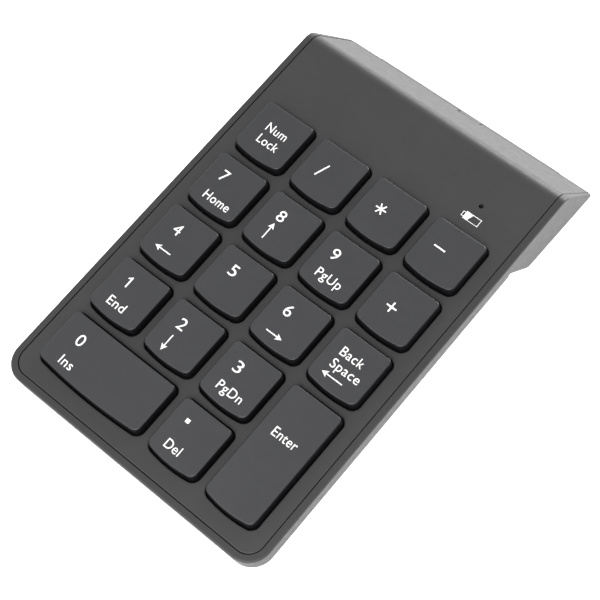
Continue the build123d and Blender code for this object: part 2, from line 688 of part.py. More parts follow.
def dome(name):
    """Rubber dome bonded to the upper film: flange, cone, cap and inner plunger."""
    rise = DOME_TOP - DOME_FOOT
    flange = 0.3
    shoulder = rise - 0.5
    outside = [
        (0, 0),
        (DOME_FLANGE, 0),
        (DOME_FLANGE, flange),
        (DOME_RADIUS, flange),
        (PUSHER_RADIUS + 0.2, shoulder),
        (PUSHER_RADIUS + 0.2, rise),
        (0, rise),
    ]
    inside = [
        (0.8, 0),
        (DOME_RADIUS - 0.35, 0),
        (DOME_RADIUS - DOME_WALL, flange),
        (PUSHER_RADIUS - 0.1, shoulder - 0.2),
        (0.8, shoulder - 0.2),
    ]
    plunger_rise = 0.7
    body = revolve(Plane.XZ * make_face(Polyline(*outside, close=True)), Axis.Z)
    body = body - revolve(Plane.XZ * make_face(Polyline(*inside, close=True)), Axis.Z)
    body = body - post(0, 0, -1, plunger_rise, 1.2)
    return Pos(*key_centre(name), DOME_FOOT) * body


def film(level, key_holes=0.0):
    """One layer of the membrane, counted up from the floor."""
    z0 = FLOOR_TOP + level * FILM
    y0 = CASE_FRONT + RIM + LEDGE + 0.6
    sheet = plan_slab(FILM_HALF, y0, FILM_REAR, FRONT_CORNER - RIM - LEDGE, z0, z0 + FILM)
    for x, y in FIELD_SCREWS:
        sheet = sheet - post(x, y, z0 - 1, z0 + 1, FIELD_SOCKET + 0.3)
    if key_holes:
        for name in KEYS:
            sheet = sheet - post(*key_centre(name), z0 - 1, z0 + 1, key_holes)
    return sheet


def film_lower():
    """Bottom layer, with the tail that climbs onto the circuit board."""
    top = BOARD_TOP + FILM
    z0 = FLOOR_TOP
    tail = [
        (FILM_REAR - 1, z0),
        (FILM_REAR + 0.3, z0),
        (FILM_REAR + 0.3, BOARD_TOP),
        (TAIL_END, BOARD_TOP),
        (TAIL_END, top),
        (FILM_REAR + 0.2, top),
        (FILM_REAR + 0.2, z0 + FILM),
        (FILM_REAR - 1, z0 + FILM),
    ]
    return film(0) + side_slab(tail, TAIL_X - TAIL_HALF, TAIL_X + TAIL_HALF)


# ---- electronics -----------------------------------------------------------------------------------
def circuit_board():
    """Board over the battery bay, with holes for its pins and the contacts' tabs."""
    board = block(BOARD_X[0], BOARD_X[1], BOARD_Y[0], BOARD_Y[1], BAY_ROOF, BOARD_TOP)
    for x, y in BOARD_PINS:
        board = board - post(x, y, BAY_ROOF - 1, BOARD_TOP + 1, PIN_RADIUS + 0.1)
    for x, y, width, _ in CONTACT_TABS:
        board = board - tab_slot(x, y, width, BAY_ROOF - 1, BOARD_TOP + 1)
    return board


def on_board(x, y, width, depth, height):
    """A part soldered flat on the board."""
    return block(x - width / 2, x + width / 2, y - depth / 2, y + depth / 2, BOARD_TOP, BOARD_TOP + height)


def controller():
    """Radio and keyboard controller: square package with its corner mark."""
    x, y = CHIP
    mark = post(x - 1.9, y + 1.9, BOARD_TOP + 0.75, BOARD_TOP + 2, 0.35)
    return on_board(x, y, CHIP_SIDE, CHIP_SIDE, 0.85) - mark


def board_parts():
    """Crystal, coil and small chip parts, each a separate solid on the board."""
    parts = [on_board(-17.0, 56.0, 3.2, 2.5, 0.7), on_board(-22.5, 58.5, 3.0, 3.0, 1.1)]
    for i in range(5):
        parts.append(on_board(-19.5 + 2.2 * i, 60.5, 0.8, 1.6, 0.6))
    for i in range(4):
        parts.append(on_board(1.0 + 2.4 * i, 62.0, 1.6, 0.8, 0.6))
    return parts


def status_led():
    """Lamp chip under the light pipe."""
    return on_board(*LAMP, 1.6, 0.9, 0.5)


def light_pipe():
    """Clear pin over the lamp, ending inside the deck's hole, with a collar under the deck."""
    foot = BOARD_TOP + 0.55
    collar = post(*LAMP, foot, -WALL - 0.02, PIPE_COLLAR)
    return fused(post(*LAMP, foot, PIPE_TOP, LAMP_RADIUS - 0.05), collar)


def tail_clamp():
    """Rubber-faced bar between the deck and the tail."""
    reach = TAIL_HALF + 1
    return block(TAIL_X - reach, TAIL_X + reach, TAIL_END - 2.6, TAIL_END - 0.3, BOARD_TOP + FILM, -WALL)


# ---- cells and their contacts ------------------------------------------------------------------------
def cell(y, z, end):
    """One cell, its raised terminal towards that end."""
    length = CELL_LENGTH - CELL_NUB
    barrel = Cylinder(CELL_RADIUS, length)
    barrel = chamfer(barrel.edges(), 0.35)
    nub = Pos(0, 0, length / 2 + CELL_NUB / 2) * Cylinder(1.9, CELL_NUB)
    turned = Rot(0, 90 * end, 0) * (barrel + nub)
    return Pos(-end * CELL_NUB / 2, y, z) * turned


def cells():
    """Two cells side by side, in opposite directions."""
    return [cell(*FRONT_CELL, -1), cell(*REAR_CELL, 1)]


def contact_coil(y, z, side):
    """Tapered coil that presses on a cell's flat end, and its base plate."""
    gap = BAY_HALF - CELL_LENGTH / 2 - PLATE
    coil_length = gap - 0.35
    path = Helix(pitch=coil_length / 3, height=coil_length, radius=3.4, cone_angle=-18)
    coil = sweep(Plane(origin=path @ 0, z_dir=path % 0) * Circle(COIL_WIRE), path=path)
    coil = Rot(0, -90 * side, 0) * coil
    return Pos(side * (BAY_HALF - PLATE), y, z) * coil


def contact_plate(y, z, side):
    """Sheet against the bay's end wall, behind one cell."""
    x0, x1 = sorted((side * BAY_HALF, side * (BAY_HALF - PLATE)))
    return block(x0, x1, y - PLATE_HALF, y + PLATE_HALF, z - PLATE_HALF, z + PLATE_HALF)


def contact_button(y, z, side):
    """Raised dimple that a cell's terminal touches."""
    reach = BAY_HALF - CELL_LENGTH / 2
    x0, x1 = sorted((side * BAY_HALF, side * (BAY_HALF - reach)))
    return Pos((x0 + x1) / 2, y, z) * Rot(0, 90, 0) * Cylinder(1.5, x1 - x0)


def contact_tab(x, y, width, foot):
    """Strip that rises from a plate through the board."""
    return block(x - TAB_HALF, x + TAB_HALF, y - width / 2, y + width / 2, foot, BOARD_TOP + 0.4)


def contact_positive():
    """Touches the front cell's terminal."""
    y, z = FRONT_CELL
    return fused(contact_plate(y, z, -1), contact_button(y, z, -1), contact_tab(*CONTACT_TABS[0]))


def contact_negative():
    """Presses on the rear cell's flat end."""
    y, z = REAR_CELL
    return fused(contact_plate(y, z, -1), contact_coil(y, z, -1), contact_tab(*CONTACT_TABS[1]))


def contact_bridge():
    """Joins the two cells at their right ends."""
    (y0, z0), (y1, z1) = FRONT_CELL, REAR_CELL
    link = block(BAY_HALF - PLATE, BAY_HALF, y0, y1, z1 - 2, z1 + 2)
    sheet = fused(contact_plate(y0, z0, 1), contact_plate(y1, z1, 1), link)
    return fused(sheet, contact_coil(y0, z0, 1), contact_button(y1, z1, 1), contact_tab(*CONTACT_TABS[2]))


# ---- power switch ------------------------------------------------------------------------------------
def switch_body():
    """Slide switch standing on the hump's floor, with a channel for its knob."""
    x, y = SWITCH
    body = block(x - 1.9, x + 1.9, y - 4.2, y + 4.2, FLOOR, FLOOR + 3.0)
    channel = block(x - 1.1, x + 1.1, y - 2.6, y + 2.6, FLOOR - 1, FLOOR + 1.3)
    return on_hump(body - channel)


def switch_knob():
    """The part a fingernail pushes, drawn at its front position."""
    x, y = SWITCH
    y = y - SWITCH_TRAVEL / 2
    knob = block(x - 1.0, x + 1.0, y - 1.3, y + 1.3, 0.3, FLOOR + 1.2)
    for i in (-1, 0, 1):
        knob = knob - block(x - 2, x + 2, y + 0.8 * i - 0.15, y + 0.8 * i + 0.15, 0, 0.55)
    return on_hump(knob)


# ---- feet and screws -----------------------------------------------------------------------------------
def feet_front():
    """Pads in the flat underside, cut to the table's level."""
    feet = []
    for x in (-FRONT_FOOT_X, FRONT_FOOT_X):
        pad = post(x, FRONT_FOOT_Y, -THIN_DEPTH - 3, -THIN_DEPTH + FOOT_SUNK, FOOT_RADIUS)
        feet.append(pad & on_hump(block(-FAR, FAR, -3 * FAR, FAR, -FOOT_PROUD, FAR)))
    return feet


def feet_rear():
    """Pads in the hump's underside."""
    x, y = REAR_FOOT
    return [on_hump(post(side * x, y, -FOOT_PROUD, FOOT_SUNK, FOOT_RADIUS)) for side in (-1, 1)]


def screw(x, y, seat_z):
    """Pan head with a cross recess, head down, its seat at that height."""
    head = post(0, 0, -SCREW_HEAD_THICK, 0, SCREW_HEAD)
    head = fillet(head.edges().filter_by(lambda e: e.center().Z < -0.5), 0.5)
    low, high = -SCREW_HEAD_THICK - 1, -SCREW_HEAD_THICK + CROSS_DEEP
    bar = block(-CROSS_ARM, CROSS_ARM, -CROSS_HALF, CROSS_HALF, low, high)
    cross = fused(bar, Rot(0, 0, 90) * bar)
    return Pos(x, y, seat_z) * (head + post(0, 0, 0, SCREW_LENGTH, SCREW_CORE) - cross)


def case_screws():
    """Five screws among the keys and two in the hump."""
    field = [screw(x, y, FIELD_SEAT) for x, y in FIELD_SCREWS]
    return field + [screw(x, y, HUMP_SEAT) for x, y in HUMP_SCREWS]


def seat(shape):
    """Tilts a piece from the deck frame to where it stands, with the table at Z = 0."""
    lift = -(FRONT_FOOT_Y * sin(radians(TILT)) + FRONT_FOOT_SOLE * cos(radians(TILT)))
    return Pos(0, 0, lift) * Rot(TILT, 0, 0) * shape


def build():
    """Every piece by node name, each a solid or a list of separate solids."""
    pieces = {
        "top_cover": top_cover(),
        "bottom_shell": bottom_shell(),
        "battery_door": battery_door(),
        "key_guide": key_guide(),
        "film_upper": film(2),
        "film_spacer": film(1, key_holes=2.2),
        "film_lower": film_lower(),
        "stabiliser_0": stabiliser("key_0"),
        "stabiliser_enter": stabiliser("key_enter"),
        "circuit_board": circuit_board(),
        "controller": controller(),
        "board_parts": board_parts(),
        "status_led": status_led(),
        "light_pipe": light_pipe(),
        "tail_clamp": tail_clamp(),
        "contact_positive": contact_positive(),
        "contact_negative": contact_negative(),
        "contact_bridge": contact_bridge(),
        "battery_cells": cells(),
        "switch_body": switch_body(),
        "switch_knob": switch_knob(),
        "feet_front": feet_front(),
        "feet_rear": feet_rear(),
        "case_screws": case_screws(),
    }
    for name in KEYS:
        pieces[name] = keycap(name)
        pieces[name.replace("key", "dome", 1)] = dome(name)
    return pieces


def main():
    """Seats every piece, moves the whole over the origin and writes one file for each node."""
    os.makedirs("parts", exist_ok=True)
    placed = {}
    for node, piece in build().items():
        solids = piece if isinstance(piece, list) else [piece]
        placed[node] = [seat(solid) for solid in solids]
    boxes = [solid.bounding_box() for solids in placed.values() for solid in solids]
    middle = (min(b.min.Y for b in boxes) + max(b.max.Y for b in boxes)) / 2
    low = min(b.min.Z for b in boxes)
    shift = Pos(0, -middle, -low)
    for node, solids in placed.items():
        moved = [shift * solid for solid in solids]
        shape = moved[0] if len(moved) == 1 else Compound(children=moved)
        shape.label = node
        export_step(shape, f"parts/{node}.step")


if __name__ == "__main__":
    main()
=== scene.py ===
import json
import math

import bmesh
import bpy
from mathutils import Matrix, Vector
from mathutils.bvhtree import BVHTree


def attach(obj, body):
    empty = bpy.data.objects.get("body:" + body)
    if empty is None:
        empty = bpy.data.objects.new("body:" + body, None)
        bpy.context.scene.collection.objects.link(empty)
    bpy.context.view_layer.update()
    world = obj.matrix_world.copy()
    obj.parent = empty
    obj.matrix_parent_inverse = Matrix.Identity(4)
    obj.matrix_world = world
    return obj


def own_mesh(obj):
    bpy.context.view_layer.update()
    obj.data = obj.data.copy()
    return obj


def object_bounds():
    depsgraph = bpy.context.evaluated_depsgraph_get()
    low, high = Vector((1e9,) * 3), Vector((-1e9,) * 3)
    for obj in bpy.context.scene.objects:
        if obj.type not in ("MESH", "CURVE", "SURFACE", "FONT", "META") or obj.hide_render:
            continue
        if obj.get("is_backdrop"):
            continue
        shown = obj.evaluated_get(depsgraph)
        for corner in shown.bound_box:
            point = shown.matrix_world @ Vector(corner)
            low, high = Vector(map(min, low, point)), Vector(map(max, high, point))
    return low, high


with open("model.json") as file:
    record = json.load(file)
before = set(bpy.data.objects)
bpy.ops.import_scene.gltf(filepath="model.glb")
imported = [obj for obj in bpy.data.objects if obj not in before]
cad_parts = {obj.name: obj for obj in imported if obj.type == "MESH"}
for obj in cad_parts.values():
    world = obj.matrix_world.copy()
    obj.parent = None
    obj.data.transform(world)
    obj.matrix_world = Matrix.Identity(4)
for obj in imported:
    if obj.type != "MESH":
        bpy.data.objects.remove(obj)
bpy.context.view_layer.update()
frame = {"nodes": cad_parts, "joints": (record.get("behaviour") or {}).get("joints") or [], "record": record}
nodes = frame["nodes"]
MM = 0.001

# ---- the deck's frame ---------------------------------------------------------------------------
# Keys travel along the deck's inward normal, so any key's joint gives the deck's lean.
press = next(j for j in frame["joints"] if j["name"] == "key_5_press")
DOWN = Vector(press["axis"]).normalized()
NORMAL = -DOWN
REARWARD = NORMAL.cross(Vector((1, 0, 0))).normalized()
LEAN = Matrix((Vector((1, 0, 0)), REARWARD, NORMAL)).transposed()


def deck_box(node):
    """Lowest and highest corner of a node measured along the deck's own axes."""
    turned = [LEAN.transposed() @ v.co for v in nodes[node].data.vertices]
    low = Vector([min(p[i] for p in turned) for i in range(3)])
    high = Vector([max(p[i] for p in turned) for i in range(3)])
    return low, high


DECK_TOP = deck_box("top_cover")[1].z
KEY_LOW, KEY_HIGH = deck_box("key_5")
HOME = Vector((0, (KEY_LOW.y + KEY_HIGH.y) / 2, DECK_TOP))


def deck_point(x, y, z):
    """Point given in millimetres from the middle key row's centre line, on the deck's axes."""
    return LEAN @ (HOME + Vector((x, y, z)) * MM)


# ---- materials ------------------------------------------------------------------------------------
BLOTCH = 90  # scale of the slow drift in a moulding's tone
# how far a keycap's surface faces out of the deck, at the start and the end of its rounded edge; across this
# span the walls' near-black painted shade colour and low gloss fade into the top's
EDGE_STEEP, EDGE_LEVEL = 0.7, 0.985


def new_material(name):
    m = bpy.data.materials.new(name)
    m.use_nodes = True
    nt = m.node_tree
    for n in list(nt.nodes):
        nt.nodes.remove(n)
    out = nt.nodes.new("ShaderNodeOutputMaterial")
    bsdf = nt.nodes.new("ShaderNodeBsdfPrincipled")
    nt.links.new(bsdf.outputs["BSDF"], out.inputs["Surface"])
    return m, nt, bsdf


def noise(nt, scale, detail=3.0, rough=0.55):
    coord = nt.nodes.new("ShaderNodeTexCoord")
    tex = nt.nodes.new("ShaderNodeTexNoise")
    tex.inputs["Scale"].default_value = scale
    tex.inputs["Detail"].default_value = detail
    tex.inputs["Roughness"].default_value = rough
    nt.links.new(coord.outputs["Object"], tex.inputs["Vector"])
    return tex


def ramp(nt, source, stops):
    r = nt.nodes.new("ShaderNodeValToRGB")
    els = r.color_ramp.elements
    for i, (pos, col) in enumerate(stops):
        e = els[i] if i < 2 else els.new(pos)
        e.position = pos
        e.color = (*col, 1)
    nt.links.new(source, r.inputs["Fac"])
    return r


def map_range(nt, source, start, end, low=0.0, high=1.0):
    """A value that goes from low to high while its source goes from start to end."""
    node = nt.nodes.new("ShaderNodeMapRange")
    node.inputs["From Min"].default_value = start
    node.inputs["From Max"].default_value = end
    node.inputs["To Min"].default_value = low
    node.inputs["To Max"].default_value = high
    nt.links.new(source, node.inputs["Value"])
    return node.outputs["Result"]


def plastic(name, colour, spread=0.04, grain=2600, grain_depth=0.03, rough=(0.46, 0.54), specular=0.5):
    """Moulded plastic: faint tone drift, fine spark-eroded grain and uneven sheen."""
    m, nt, bsdf = new_material(name)
    low = tuple(c * (1 - spread) for c in colour)
    high = tuple(c * (1 + spread) for c in colour)
    drift = noise(nt, BLOTCH, 4)
    tone = ramp(nt, drift.outputs["Fac"], [(0.3, low), (0.7, high)])
    nt.links.new(tone.outputs["Color"], bsdf.inputs["Base Color"])
    sheen = noise(nt, BLOTCH * 6, 5)
    level = ramp(nt, sheen.outputs["Fac"], [(0.3, (rough[0],) * 3), (0.7, (rough[1],) * 3)])
    nt.links.new(level.outputs["Color"], bsdf.inputs["Roughness"])
    bsdf.inputs["Specular IOR Level"].default_value = specular
    fine = noise(nt, grain, 2, 0.6)
    bump = nt.nodes.new("ShaderNodeBump")
    bump.inputs["Strength"].default_value = 0.35
    bump.inputs["Distance"].default_value = grain_depth * MM
    nt.links.new(fine.outputs["Fac"], bump.inputs["Height"])
    nt.links.new(bump.outputs["Normal"], bsdf.inputs["Normal"])
    return m


def key_material(name, top, painted_shade_wall):
    """Keycap: finely textured top, and smoother walls with less gloss, whose colour is painted near-black as
    painted shade and fades into the top's across the fillet.
    """
    m = plastic(name, top, 0.03, 3200, 0.02, (0.44, 0.52))
    nt = m.node_tree
    bsdf = next(n for n in nt.nodes if n.type == "BSDF_PRINCIPLED")
    coord = nt.nodes.new("ShaderNodeTexCoord")
    facing = nt.nodes.new("ShaderNodeVectorMath")
    facing.operation = "DOT_PRODUCT"
    facing.inputs[1].default_value = NORMAL
    nt.links.new(coord.outputs["Normal"], facing.inputs[0])
    # mask for the painted shade: the walls take the near-black painted shade colour, fading to the top's
    # colour across the fillet
    painted_shade_blend = map_range(nt, facing.outputs["Value"], EDGE_STEEP, EDGE_LEVEL)
    gloss = map_range(nt, facing.outputs["Value"], EDGE_STEEP, EDGE_LEVEL, 0.12, 0.5)
    nt.links.new(gloss, bsdf.inputs["Specular IOR Level"])
    # the walls' painted shade colour and their lower roughness are mixed in by that mask
    for socket, value in (("Base Color", (*painted_shade_wall, 1)), ("Roughness", (0.3, 0.3, 0.3, 1))):
        mix = nt.nodes.new("ShaderNodeMix")
        mix.data_type = "RGBA"
        mix.inputs["A"].default_value = value
        nt.links.new(bsdf.inputs[socket].links[0].from_socket, mix.inputs["B"])
        nt.links.new(painted_shade_blend, mix.inputs["Factor"])
        nt.links.new(mix.outputs["Result"], bsdf.inputs[socket])
    return m


def metal(name, colour, rough=(0.22, 0.42), streak=(40, 40, 900)):
    """Bare or plated metal with fine drawn streaks."""
    m, nt, bsdf = new_material(name)
    coord = nt.nodes.new("ShaderNodeTexCoord")
    mapping = nt.nodes.new("ShaderNodeMapping")
    mapping.inputs["Scale"].default_value = streak
    tex = nt.nodes.new("ShaderNodeTexNoise")
    tex.inputs["Scale"].default_value = 6
    nt.links.new(coord.outputs["Object"], mapping.inputs["Vector"])
    nt.links.new(mapping.outputs["Vector"], tex.inputs["Vector"])
    tone = ramp(nt, tex.outputs["Fac"], [(0.3, tuple(c * 0.82 for c in colour)), (0.7, colour)])
    level = ramp(nt, tex.outputs["Fac"], [(0.3, (rough[0],) * 3), (0.7, (rough[1],) * 3)])
    nt.links.new(tone.outputs["Color"], bsdf.inputs["Base Color"])
    nt.links.new(level.outputs["Color"], bsdf.inputs["Roughness"])
    bsdf.inputs["Metallic"].default_value = 1.0
    return m


def clear(name, colour, transmission, rough):
    """Clear or smoky plastic with a faint haze."""
    m, nt, bsdf = new_material(name)
    haze = noise(nt, 300, 3)
    tone = ramp(nt, haze.outputs["Fac"], [(0.3, tuple(c * 0.9 for c in colour)), (0.7, colour)])
    nt.links.new(tone.outputs["Color"], bsdf.inputs["Base Color"])
    bsdf.inputs["Roughness"].default_value = rough
    bsdf.inputs["Transmission Weight"].default_value = transmission
    return m


def board_material():
    """Solder mask over copper: the tracks show as a slightly raised, lighter net."""
    m, nt, bsdf = new_material("board_laminate")
    coord = nt.nodes.new("ShaderNodeTexCoord")
    tracks = nt.nodes.new("ShaderNodeTexVoronoi")
    tracks.feature = "DISTANCE_TO_EDGE"
    tracks.distance = "MANHATTAN"
    tracks.inputs["Scale"].default_value = 260
    nt.links.new(coord.outputs["Object"], tracks.inputs["Vector"])
    tone = ramp(nt, tracks.outputs["Distance"], [(0.04, (0.03, 0.22, 0.08)), (0.07, (0.01, 0.1, 0.035))])
    nt.links.new(tone.outputs["Color"], bsdf.inputs["Base Color"])
    bsdf.inputs["Roughness"].default_value = 0.25
    bsdf.inputs["Coat Weight"].default_value = 0.4
    return m


def ink(name, colour):
    """Printed ink, very slightly mottled."""
    m, nt, bsdf = new_material(name)
    mottle = noise(nt, 2200, 3)
    tone = ramp(nt, mottle.outputs["Fac"], [(0.3, tuple(c * 0.94 for c in colour)), (0.6, colour)])
    nt.links.new(tone.outputs["Color"], bsdf.inputs["Base Color"])
    bsdf.inputs["Roughness"].default_value = 0.6
    return m


MATERIALS = {
    "cover_plastic": plastic("cover_plastic", (0.036, 0.036, 0.036)),
    "shell_plastic": plastic("shell_plastic", (0.034, 0.034, 0.034)),
    # the keycap's second colour is painted shade: its walls are coloured near-black to stand in for the
    # shade between the keys
    "key_plastic": key_material("key_plastic", (0.036, 0.0365, 0.039), (0.006, 0.006, 0.007)),
    "guide_plastic": plastic("guide_plastic", (0.018, 0.018, 0.018)),
    "switch_plastic": plastic("switch_plastic", (0.03, 0.03, 0.03)),
    "dome_silicone": plastic("dome_silicone", (0.5, 0.52, 0.53), 0.08, 1500, 0.02, (0.5, 0.65)),
    "polyester_film": clear("polyester_film", (0.75, 0.8, 0.78), 0.6, 0.25),
    "spring_steel": metal("spring_steel", (0.6, 0.6, 0.59)),
    "contact_nickel": metal("contact_nickel", (0.72, 0.68, 0.6)),
    "board_laminate": board_material(),
    "chip_black": plastic("chip_black", (0.02, 0.02, 0.022), 0.15, 2500, 0.03),
    "chip_parts": plastic("chip_parts", (0.45, 0.34, 0.22), 0.25, 1800, 0.03, (0.3, 0.5)),
    "led_lens": clear("led_lens", (0.9, 0.88, 0.7), 0.3, 0.1),
    # the light pipe is coloured near-black as painted shade, so that its hole looks black
    "light_guide": clear("light_guide", (0.004, 0.004, 0.0045), 0.2, 0.3),
    "clamp_rubber": plastic("clamp_rubber", (0.04, 0.04, 0.04), 0.2, 900, 0.15, (0.8, 0.95)),
    "cell_jacket": metal("cell_jacket", (0.2, 0.21, 0.22), (0.3, 0.45), (10, 400, 400)),
    "foot_rubber": plastic("foot_rubber", (0.025, 0.025, 0.025), 0.15, 1600, 0.06, (0.7, 0.9), 0.3),
    "screw_steel": metal("screw_steel", (0.18, 0.18, 0.19)),
}
for part in frame["record"]["subparts"]:
    obj = nodes[part["node"]]
    obj.data.materials.clear()
    obj.data.materials.append(MATERIALS[part["material_slot"]])
PRINT = ink("legend_ink", (0.95, 0.95, 0.94))

# ---- printed legends ---------------------------------------------------------------------------
INK_THICK = 0.03 * MM
INK_SUNK = 0.012 * MM
ABOVE = 30  # millimetres over the deck from which a print is dropped


def surface_of(node):
    """A node's mesh, ready for rays."""
    mesh = nodes[node].data
    return BVHTree.FromPolygons([v.co for v in mesh.vertices], [p.vertices for p in mesh.polygons])


def lay_on(tree, outline_mesh, name, body):
    """Drops a flat outline, drawn in millimetres on the deck's axes, onto a surface as a thin print."""
    bm = bmesh.new()
    bm.from_mesh(outline_mesh)
    bmesh.ops.remove_doubles(bm, verts=bm.verts, dist=1e-4)
    bmesh.ops.recalc_face_normals(bm, faces=bm.faces)
    for v in bm.verts:
        above = deck_point(v.co.x, v.co.y, ABOVE)
        hit, _, _, _ = tree.ray_cast(above, DOWN)
        if hit is None:
            hit = deck_point(v.co.x, v.co.y, 0)
        top = v.co.z > 0
        v.co = hit + NORMAL * (INK_THICK if top else -INK_SUNK)
    mesh = bpy.data.meshes.new(name)
    bm.to_mesh(mesh)
    bm.free()
    obj = bpy.data.objects.new(name, mesh)
    bpy.context.scene.collection.objects.link(obj)
    mesh.materials.append(PRINT)
    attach(obj, body)


node_body = {n: b for b, ns in frame["record"]["behaviour"]["bodies"].items() for n in ns}
CAP = 0.729  # the built-in font's cap height for a size of 1


def text_mesh(text, x, y, cap, width, bold):
    """Text in a box centred on a point, as a closed slab two units thick; a lone digit fills its box."""
    curve = bpy.data.curves.new("text", "FONT")
    curve.body = text
    curve.size = cap / CAP
    curve.resolution_u = 5
    curve.extrude = 1.0
    curve.offset = bold
    curve.space_character = LETTER_SPACE
    obj = bpy.data.objects.new("text", curve)
    bpy.context.scene.collection.objects.link(obj)
    bpy.context.view_layer.update()
    mesh = bpy.data.meshes.new_from_object(obj.evaluated_get(bpy.context.evaluated_depsgraph_get()))
    bpy.data.objects.remove(obj)
    low_x, high_x = (f(v.co.x for v in mesh.vertices) for f in (min, max))
    foot, top = 0.0, cap
    if len(text) == 1:
        foot, top = (f(v.co.y for v in mesh.vertices) for f in (min, max))
    grow_x, grow_y = width / (high_x - low_x), cap / (top - foot)
    for v in mesh.vertices:
        v.co.x = x + (v.co.x - (low_x + high_x) / 2) * grow_x
        v.co.y = y + (v.co.y - (foot + top) / 2) * grow_y
    return mesh


def slab_mesh(outlines):
    """Closed slabs from flat outlines."""
    bm = bmesh.new()
    for points in outlines:
        low = [bm.verts.new((x, y, -1)) for x, y in points]
        high = [bm.verts.new((x, y, 1)) for x, y in points]
        bm.faces.new(list(reversed(low)))
        bm.faces.new(high)
        for i in range(len(points)):
            j = (i + 1) % len(points)
            bm.faces.new((low[i], low[j], high[j], high[i]))
    mesh = bpy.data.meshes.new("slab")
    bm.to_mesh(mesh)
    bm.free()
    return mesh


def placed(outline, x, y, turn):
    """An outline turned anticlockwise, by degrees, and moved to a point."""
    c, s = math.cos(math.radians(turn)), math.sin(math.radians(turn))
    return [(x + px * c - py * s, y + px * s + py * c) for px, py in outline]


# an arrow's head length, how far its barbs sweep back, and the half widths of its head and shaft
HEAD, BARB, HEAD_HALF, SHAFT_HALF = 1.75, 0.3, 0.92, 0.16


def arrow(x, y, length, turn):
    """Arrow pointing left, turned anticlockwise, centred on a point."""
    tip = -length / 2
    upper = [(tip, 0), (tip + HEAD, HEAD_HALF), (tip + HEAD - BARB, SHAFT_HALF), (-tip, SHAFT_HALF)]
    outline = upper + [(px, -py) for px, py in reversed(upper[1:])]
    return slab_mesh([placed(reversed(outline), x, y, turn)])


def bar(x, y, length, width, turn=0.0):
    """Outline of a straight stroke, turned anticlockwise, centred on a point."""
    h, w = length / 2, width / 2
    return placed([(-h, -w), (h, -w), (h, w), (-h, w)], x, y, turn)


DIGIT, DIGIT_WIDE, WORD = 3.25, 2.2, 2.72  # a digit's height and width, and a word's height
DIGIT_BOLD, WORD_BOLD = 0.0, 0.004  # how far the strokes are thickened
LETTER_SPACE = 1.06  # spacing between letters, against the font's own
LETTER = 3.12  # a word's width for each unit in this table of letter widths
LETTER_WIDTHS = {
    **dict.fromkeys("aenopudg", 0.556),
    **dict.fromkeys("cks", 0.5),
    **dict.fromkeys("BEPS", 0.667),
    **dict.fromkeys("NUDH", 0.722),
    "L": 0.556,
    "I": 0.278,
    "m": 0.833,
    "t": 0.278,
    "r": 0.333,
    "l": 0.222,
}
# digit one with a short flag, which the built-in face lacks
ONE = [
    (0.0, -1.65),
    (0.44, -1.65),
    (0.44, 1.65),
    (0.14, 1.65),
    (-0.22, 1.24),
    (-0.74, 0.98),
    (-0.74, 0.6),
    (0.0, 0.86),
]
# Each mark's kind and centre, in millimetres from its key's centre. A bar then has its length, width
# and turn, and an arrow its length and turn.
LEGENDS = {
    "key_num_lock": [("Num", -0.05, 1.75), ("Lock", 0.15, -2.25)],
    "key_divide": [("bar", -2.18, 0.05, 4.6, 0.4, 69)],
    "key_multiply": [("bar", -1.74, 0.42, 3.2, 0.4, a) for a in (0, 60, 120)],
    "key_minus": [("bar", -2.0, 0.7, 3.4, 0.42, 0)],
    "key_7": [("7", -2.72, 2.45), ("Home", 0.5, -4.15)],
    "key_8": [("8", -1.9, 2.5), ("arrow", -2.1, -2.6, 5.1, -90)],
    "key_9": [("9", -2.85, 2.55), ("PgUp", 0.1, -3.45)],
    "key_plus": [("bar", -1.5, -0.1, 3.0, 0.45, a) for a in (0, 90)],
    "key_4": [("4", -2.2, 2.4), ("arrow", -1.55, -4.18, 5.2, 0)],
    "key_5": [("5", -1.75, 2.45)],
    "key_6": [("6", -2.35, 2.55), ("arrow", -1.1, -4.6, 5.0, 180)],
    "key_backspace": [("Back", -0.55, 2.7), ("Space", 0.35, -1.1), ("arrow", -1.35, -4.5, 6.4, 0)],
    "key_1": [("one", -2.45, 2.65), ("End", -0.75, -3.65)],
    "key_2": [("2", -2.4, 2.4), ("arrow", -2.33, -3.65, 4.9, 90)],
    "key_3": [("3", -2.45, 2.5), ("PgDn", 0.15, -3.6)],
    "key_enter": [("Enter", -0.2, 5.15)],
    "key_0": [("0", -10.7, 2.25), ("Ins", -9.5, -4.2)],
    "key_point": [("bar", -3.15, 3.2, 1.15, 1.15, 0), ("Del", -1.5, -3.9)],
}


def mark_mesh(kind, x, y, *form):
    if kind == "bar":
        return slab_mesh([bar(x, y, *form)])
    if kind == "arrow":
        return arrow(x, y, *form)
    if kind == "one":
        return slab_mesh([[(x + px, y + py) for px, py in ONE]])
    if len(kind) == 1:
        return text_mesh(kind, x, y, DIGIT, DIGIT_WIDE, DIGIT_BOLD)
    return text_mesh(kind, x, y, WORD, LETTER * sum(LETTER_WIDTHS[c] for c in kind), WORD_BOLD)


for node, marks in LEGENDS.items():
    tree = surface_of(node)
    low, high = deck_box(node)
    centre = (low + high) / 2 - HOME
    for i, (kind, x, y, *form) in enumerate(marks):
        mesh = mark_mesh(kind, x + centre.x / MM, y + centre.y / MM, *form)
        lay_on(tree, mesh, f"legend_{node[4:]}_{i + 1}", node_body[node])

# Each key's silicone dome gets its own copy of its mesh; its box on the deck's axes is worked out but not
# used.
for node in LEGENDS:
    dome = f"dome_{node[4:]}"
    low, high = deck_box(dome)
    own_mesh(nodes[dome])

